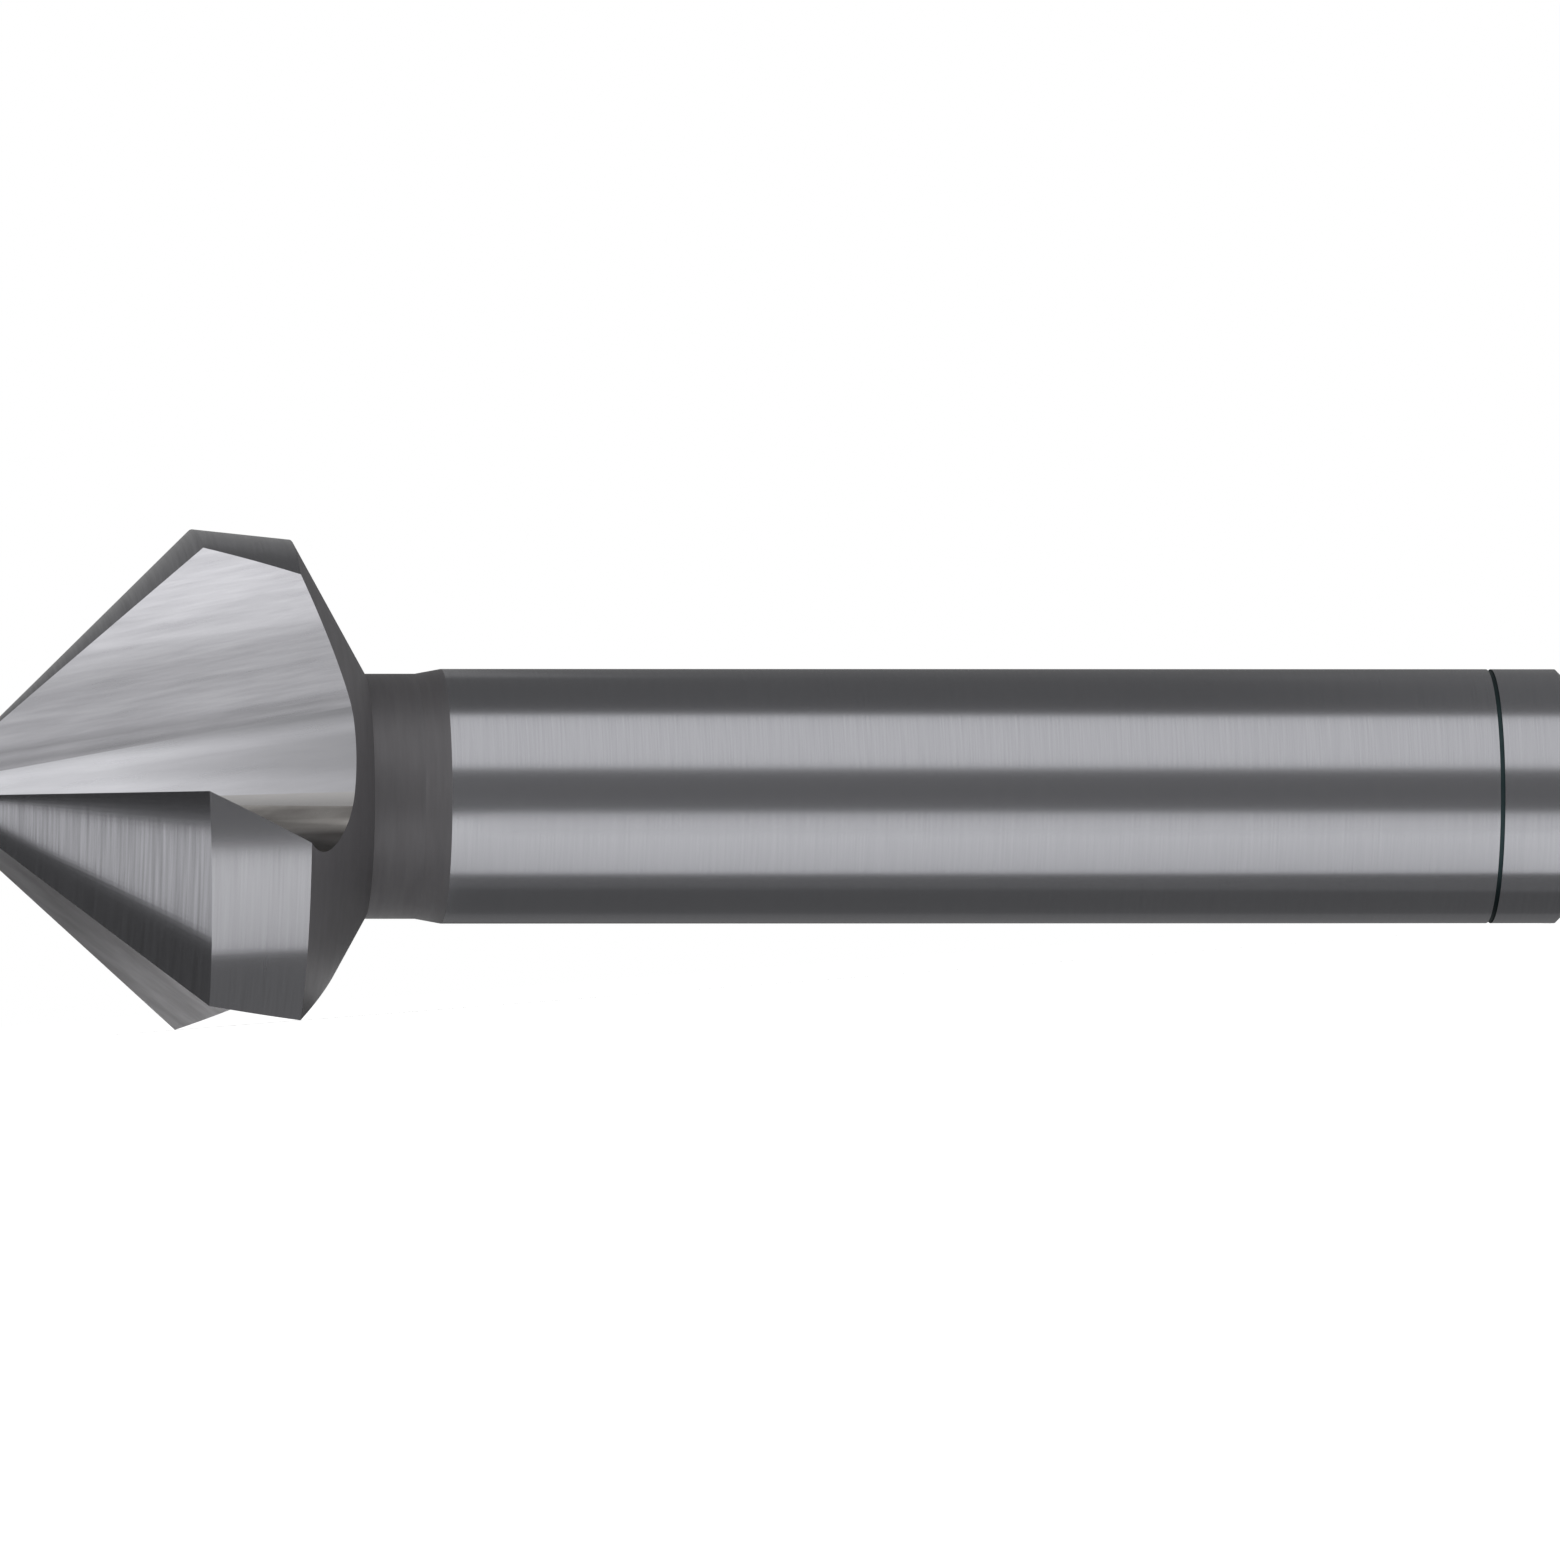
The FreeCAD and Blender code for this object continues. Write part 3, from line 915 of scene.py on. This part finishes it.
    def ground(self, finish: GroundFinish, material: bpy.types.Material, tooth_turn: float = 0.0) -> None:
        """Build the nodes of a ground finish.

        Args:
            finish: The finish's colours, roughness and grain.
            material: The material that gets them.
            tooth_turn: Turn of the tooth about the axis, in radians.
        """
        shader = Shader(material)
        place = shader.tool_millimetres(self.lie, tooth_turn)
        drawn = shader.node(
            "ShaderNodeMapping",
            {"Vector": place, "Rotation": finish.grain_turn, "Scale": finish.grain},
            vector_type="TEXTURE",
        ).outputs["Vector"]
        grain = shader.node(
            "ShaderNodeTexNoise",
            {"Vector": drawn, "Scale": 1.0, "Detail": finish.detail, "Roughness": self.GRAIN_ROUGHNESS},
        ).outputs["Fac"]
        colour = shader.node("ShaderNodeValToRGB", {"Fac": grain})
        ramp = colour.color_ramp
        ramp.elements[0].position = self.GRAIN_MIDDLE - finish.contrast
        ramp.elements[0].color = (*finish.dark, 1.0)
        ramp.elements[1].position = self.GRAIN_MIDDLE + finish.contrast
        ramp.elements[1].color = (*finish.light, 1.0)
        least, greatest = finish.roughness
        grain_range = {"From Min": self.GRAIN_LOW, "From Max": self.GRAIN_HIGH}
        roughness = shader.node(
            "ShaderNodeMapRange", {"Value": grain, **grain_range, "To Min": greatest, "To Max": least}
        ).outputs["Result"]
        tone = colour.outputs["Color"]
        # Painted shade and highlights: each fade multiplies the grain's tone.
        for fade in finish.painted_shading:
            tone = self.paint_shading(shader, place, fade, tone)
        steel = shader.node(
            "ShaderNodeBsdfPrincipled",
            {"Base Color": tone, "Metallic": finish.metallic, "Roughness": roughness},
        )
        if finish.relief:
            bump = shader.node(
                "ShaderNodeBump", {"Height": grain, "Strength": 1.0, "Distance": finish.relief * MM}
            ).outputs["Normal"]
            shader.tree.links.new(bump, steel.inputs["Normal"])
        shader.end(steel.outputs["BSDF"])

    @staticmethod
    def paint_shading(
        shader: Shader, place: bpy.types.NodeSocket, fade: PaintedShading, tone: bpy.types.NodeSocket
    ) -> bpy.types.NodeSocket:
        """Multiply a tone by a fade across the steel, which paints shade and highlight into it.

        Args:
            shader: The material's tree.
            place: The tool's millimetres at the tooth.
            fade: The fade's direction and stops.
            tone: The colour before the fade.

        Returns:
            The colour with its painted shade and highlight.
        """
        turned = shader.node(
            "ShaderNodeMapping", {"Vector": place, "Rotation": (0.0, fade.turn, 0.0)}, vector_type="TEXTURE"
        ).outputs["Vector"]
        across = shader.node("ShaderNodeSeparateXYZ", {"Vector": turned}).outputs["Z"]
        first, last = fade.stops[0][0], fade.stops[-1][0]
        share = shader.node(
            "ShaderNodeMapRange", {"Value": across, "From Min": first, "From Max": last}
        ).outputs["Result"]
        ramp_node = shader.node("ShaderNodeValToRGB", {"Fac": share})
        ramp = ramp_node.color_ramp
        for distance, factor in fade.stops[1:-1]:
            stop = ramp.elements.new((distance - first) / (last - first))
            stop.color = grey_colour(factor)
        for end in (0, -1):
            ramp.elements[end].color = grey_colour(fade.stops[end][1])
        return shader.node(
            "ShaderNodeVectorMath", {0: tone, 1: ramp_node.outputs["Color"]}, operation="MULTIPLY"
        ).outputs["Vector"]

    def flute(self, tooth: int) -> dict[str, bpy.types.Material]:
        """Make one flute's finishes, turned to its tooth.

        Args:
            tooth: Which tooth the flute is ahead of.

        Returns:
            The materials of the wall, the floor, its edge, the root fillet and the tooth's face.
        """
        turn = math.tau * tooth / self.tooth_count
        finishes = {
            "wall": self.WALL,
            "floor": self.FLOOR,
            "edge": self.EDGE,
            "root": self.ROOT,
            "face": self.FACE,
        }
        made = {}
        for kind, finish in finishes.items():
            made[kind] = bpy.data.materials.new(f"{finish.name}_{tooth + 1}")
            self.ground(finish, made[kind], turn)
        return made

    def dress(self, bit: bpy.types.Object) -> None:
        """Build the finishes of the blank's zones in the bit's own slots.

        Args:
            bit: The ground bit.
        """
        by_zone = {
            Zone.TIP: self.END,
            Zone.CONE: self.CONE,
            Zone.LAND: self.LAND,
            Zone.TURNED: self.TURNED,
            Zone.SHANK: self.SHANK,
            Zone.RING: self.RING,
            Zone.END: self.END,
        }
        for zone, finish in by_zone.items():
            material = bit.data.materials.get(zone.value)
            if material is not None:
                self.ground(finish, material)


@dataclass(frozen=True)
class Card:
    """A glowing grey card of the studio that only the steel's reflections show, a painted reflection.

    Attributes:
        name: Name of the card.
        grey: How bright the steel sees it.
        corners: Its corners in millimetres, in order round it.
    """

    name: str
    grey: float
    corners: tuple[Triple, ...]

    @classmethod
    def lying(cls, name: str, grey: float, height: float, outline: Outline) -> "Card":
        """Lay a card level, with its corners given along and across the table."""
        return cls(name, grey, tuple((x, y, height) for x, y in outline))

    @classmethod
    def beside(cls, name: str, grey: float, across: float, outline: Outline) -> "Card":
        """Stand a card in front of the tool or behind it, with its corners given along it and upwards."""
        return cls(name, grey, tuple((x, across, z) for x, z in outline))

    @classmethod
    def ahead(cls, name: str, grey: float, along: float, outline: Outline) -> "Card":
        """Stand a card ahead of the tip, with its corners given across the table and upwards."""
        return cls(name, grey, tuple((along, y, z) for y, z in outline))


@dataclass
class Studio:
    """The white table, the lamp, the grey cards round the bit, and the camera.

    Attributes:
        lie: How the bit lies.
        cards: The grey cards.
        distance: Camera to the bit, in metres.
        pixels_per_mm: Scale of the picture at the bit.
        picture_width: Width of the picture, in pixels.
        sensor_width: Width of the camera's sensor, in millimetres.
        nearest: Where the camera begins to see, in metres.
        farthest: How far it sees, in metres.
        yaw: How far the camera stands towards the tip, in radians.
        dip: How far it looks up from below the level, in radians.
        centre_station: Station at the middle of the picture, in millimetres.
        centre_rise: Height of the picture's middle above the axis, in millimetres.
        world_light: Strength of the white surroundings as a light.
        table_white: Reflectance of the table top.
        table_lift: What the table top gains where it is seen, so that it shows white.
        table_size: Side of the table top, in metres.
        lamp_size: Side of the square lamp, in metres.
        lamp_power: Power of the lamp, in watts.
        lamp_place: Place of the lamp, in metres.
    """

    lie: Lie
    cards: tuple[Card, ...]
    distance: float = 1.6
    pixels_per_mm: float = 25.44
    picture_width: int = 1560
    sensor_width: float = 36.0
    nearest: float = 0.05
    farthest: float = 50.0
    yaw: float = math.radians(5.85)
    dip: float = math.radians(0.7)
    centre_station: float = 33.94
    centre_rise: float = 0.62
    world_light: float = 0.85
    table_white: float = 0.93
    table_lift: float = 0.22
    table_size: float = 6.0
    lamp_size: float = 1.2
    lamp_power: float = 4.0
    lamp_place: Triple = (-0.2, -0.5, 1.2)

    def to_camera(self) -> Vector:
        """Find which way the camera stands from the bit.

        Returns:
            Unit vector from the bit to the camera.
        """
        axis = self.lie.axis
        side = Vector((0.0, -1.0, 0.0))
        rise = side.cross(axis).normalized()
        level = side * math.cos(self.dip) - rise * math.sin(self.dip)
        return (level * math.cos(self.yaw) - axis * math.sin(self.yaw)).normalized()

    def set_camera(self) -> None:
        """Stand the camera so that the tool's axis is level in the picture."""
        back = self.to_camera()
        axis = self.lie.axis
        right = (axis - back * axis.dot(back)).normalized()
        up = back.cross(right)
        target = self.lie.point(self.centre_station) + up * self.centre_rise * MM
        data = bpy.data.cameras.new("camera")
        data.sensor_width = self.sensor_width
        focal_pixels = self.pixels_per_mm * self.distance / MM
        data.lens = focal_pixels / self.picture_width * self.sensor_width
        data.clip_start = self.nearest
        data.clip_end = self.farthest
        camera = bpy.data.objects.new("camera", data)
        turn = Matrix((right, up, back)).transposed().to_4x4()
        camera.matrix_world = Matrix.Translation(target + back * self.distance) @ turn
        bpy.context.scene.collection.objects.link(camera)
        bpy.context.scene.camera = camera

    def set_world(self) -> None:
        """White surroundings where they are seen, and softer light from them elsewhere."""
        world = bpy.data.worlds.new("studio")
        shader = Shader(world)
        strength = shader.node(
            "ShaderNodeMapRange", {"Value": shader.shown(), "To Min": self.world_light, "To Max": 1.0}
        ).outputs["Result"]
        white = shader.node("ShaderNodeBackground", {"Color": WHITE, "Strength": strength})
        shader.end(white.outputs["Background"])
        bpy.context.scene.world = world

    def set_table(self) -> None:
        """A plain white table top that keeps the bit's shadow."""
        bpy.ops.object.select_all(action="DESELECT")
        bpy.ops.mesh.primitive_grid_add(x_subdivisions=1, y_subdivisions=1, size=self.table_size)
        table = bpy.context.object
        table.name = "table_top"
        material = bpy.data.materials.new("white_table")
        shader = Shader(material)
        paint = shader.node("ShaderNodeBsdfDiffuse", {"Color": grey_colour(self.table_white)})
        lift = shader.node("ShaderNodeMath", {0: shader.shown(), 1: self.table_lift}, operation="MULTIPLY")
        glow = shader.node("ShaderNodeEmission", {"Color": WHITE, "Strength": lift.outputs["Value"]})
        both = shader.node("ShaderNodeAddShader", {0: paint.outputs["BSDF"], 1: glow.outputs["Emission"]})
        shader.end(both.outputs["Shader"])
        material.cycles.emission_sampling = "NONE"
        table.data.materials.append(material)

    def set_lamp(self) -> None:
        """A large soft lamp above, on the camera's side."""
        data = bpy.data.lights.new("soft_lamp", "AREA")
        data.shape = "SQUARE"
        data.size = self.lamp_size
        data.energy = self.lamp_power
        lamp = bpy.data.objects.new("soft_lamp", data)
        lamp.location = self.lamp_place
        lamp.rotation_euler = (-lamp.location).to_track_quat("-Z", "Y").to_euler()
        lamp.visible_glossy = False
        bpy.context.scene.collection.objects.link(lamp)

    def set_card(self, card: Card) -> None:
        """Set up one glowing grey card where only reflections show it.

        Args:
            card: The card's outline and grey.
        """
        bpy.ops.object.select_all(action="DESELECT")
        bpy.ops.mesh.primitive_circle_add(vertices=len(card.corners), radius=1.0, fill_type="NGON")
        obj = bpy.context.object
        obj.name = card.name
        bpy.ops.object.mode_set(mode="EDIT")
        bpy.ops.mesh.select_mode(type="VERT")
        place_ring(obj, 0, [Vector(corner) * MM for corner in card.corners])
        bpy.ops.object.mode_set(mode="OBJECT")
        material = bpy.data.materials.new(card.name)
        shader = Shader(material)
        # Painted reflection: the card glows at its grey instead of being lit.
        reflection_glow = shader.node("ShaderNodeEmission", {"Color": grey_colour(card.grey), "Strength": 1.0})
        shader.end(reflection_glow.outputs["Emission"])
        material.cycles.emission_sampling = "NONE"
        obj.data.materials.append(material)
        obj.visible_camera = False
        obj.visible_diffuse = False
        obj.visible_shadow = False
        obj.visible_transmission = False

    def build(self) -> None:
        """Set up the table, the light, the cards and the camera."""
        self.set_world()
        self.set_table()
        self.set_lamp()
        for card in self.cards:
            self.set_card(card)
        self.set_camera()
        bpy.context.scene.view_settings.view_transform = "Standard"


def studio_cards() -> tuple[Card, ...]:
    """Cut the grey cards whose reflections give the steel its bright bands and dark lines.

    Returns:
        The cards, in the order in which they are set up.
    """
    front, back, top, left = -150.0, 150.0, 150.0, -83.0
    under, over = 0.02, 0.03
    in_front = (
        Card.beside("front_card", 0.20, front, ((5.5, -12), (90, -12), (90, 66), (22, 74.3), (5.5, 74.8))),
        Card.beside("front_left_card", 0.165, front, ((-20, -12), (5.5, -12), (5.5, 74.8), (-20, 75.5))),
        Card.lying("table_card", 0.21, over, (
            (-40, -36), (-18.6, -25), (-15.4, -23.5), (-12.6, -23.5), (-11, -32.2),
            (90, -3.7), (90, -150), (-20, -150),
        )),
        Card.lying("band_edge_card", 0.84, over, ((-11, -32.2), (90, -3.7), (90, -3.4), (-11, -22.2))),
        Card.lying("band_rim_card", 0.98, over, ((-11, -22.2), (90, -3.4), (90, -3.3), (-11, -14.6))),
    )
    above = (
        Card.lying("top_card", 0.16, top, (
            (-150, -31), (20, -31.5), (48, -36), (53, -36), (53, 300), (-150, 300),
        )),
        Card.lying("top_end_card", 0.222, top, ((53, -36), (200, -38), (200, 300), (53, 300))),
    )
    behind = (
        Card.beside("back_card", 0.17, back, ((-30, 0), (200, 0), (200, 20), (-30, 20))),
        Card.beside("back_high_card", 0.30, back, (
            (-30, 20), (200, 20), (200, 30), (3.5, 30), (6.2, 64),
            (10.6, 90), (17, 118), (26, 150), (-30, 150),
        )),
        Card.beside("back_top_card", 0.17, back, (
            (3.5, 30), (50, 30), (50, 150), (26, 150), (17, 118), (10.6, 90), (6.2, 64),
        )),
        Card.beside("back_end_card", 0.21, back, ((50, 30), (200, 30), (200, 150), (50, 150))),
        Card.beside("back_left_card", 0.30, back, ((-150, 0), (-30, 0), (-30, 150), (-150, 150))),
    )
    # Glowing sheets just over the table, seen only in reflections: they paint the table's shade under the
    # shank into the steel.
    under_shank = (
        Card.lying("rear_table_card", 0.145, under, ((-13.7, -5.2), (90, -3.3), (90, 150), (-13.7, 150))),
        Card.lying("shank_line_card", 0.21, over, ((-13.7, -5.2), (40, -4.2), (40, -3.0), (-13.7, -3.2))),
        Card.lying("shank_foot_card", 0.20, over, ((-13.7, 2.0), (40, -2.2), (40, 6), (-13.7, 9))),
    )
    # Glowing sheets just over the table, seen only in reflections: head_table_card and land_table_card
    # paint the table's shade under the head, and neck_table_card paints a lit patch under the neck.
    under_head = (
        Card.lying("neck_table_card", 0.65, under, (
            (-17.5, -8.5), (-13.7, -5.2), (-13.7, 150), (-17.5, 150),
        )),
        Card.lying("head_table_card", 0.14, under, (
            (-150, 2.5), (-50.4, -0.6), (-45.2, -1.3), (-40.9, -2.6), (-36.9, -3.9), (-33.3, -5.4),
            (-30.5, -6.6), (-27.5, -7.9), (-24, -8.2), (-24, 150), (-150, 150),
        )),
        Card.lying("land_table_card", 0.23, under, ((-24, -9.25), (-17.5, -8.5), (-17.5, 150), (-24, 150))),
    )
    ahead = (
        Card.ahead("left_card", 0.08, left, (
            (-40, 1.5), (-14.4, 1.5), (-12.6, 1.6), (-11, 2.4), (-9.6, 4.1), (-8.3, 6.9),
            (120, 6.9), (120, 60), (-40, 60),
        )),
    )
    return in_front + above + behind + under_shank + under_head + ahead


def main() -> None:
    """Build the bit and the studio."""
    logging.basicConfig(level=logging.INFO, format="%(name)s: %(message)s")
    bit_maker = CountersinkBit(frame["record"])
    finishes = Finishes(bit_maker.lie, bit_maker.teeth.count)
    bit = bit_maker.build(finishes)
    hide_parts(NODE)
    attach(bit, "root")
    LOG.info("%s: %d faces", bit.name, len(bit.data.polygons))
    studio = Studio(lie=bit_maker.lie, cards=studio_cards())
    studio.build()
    LOG.info("studio: %d cards", len(studio.cards))


if __name__ == "__main__":
    main()
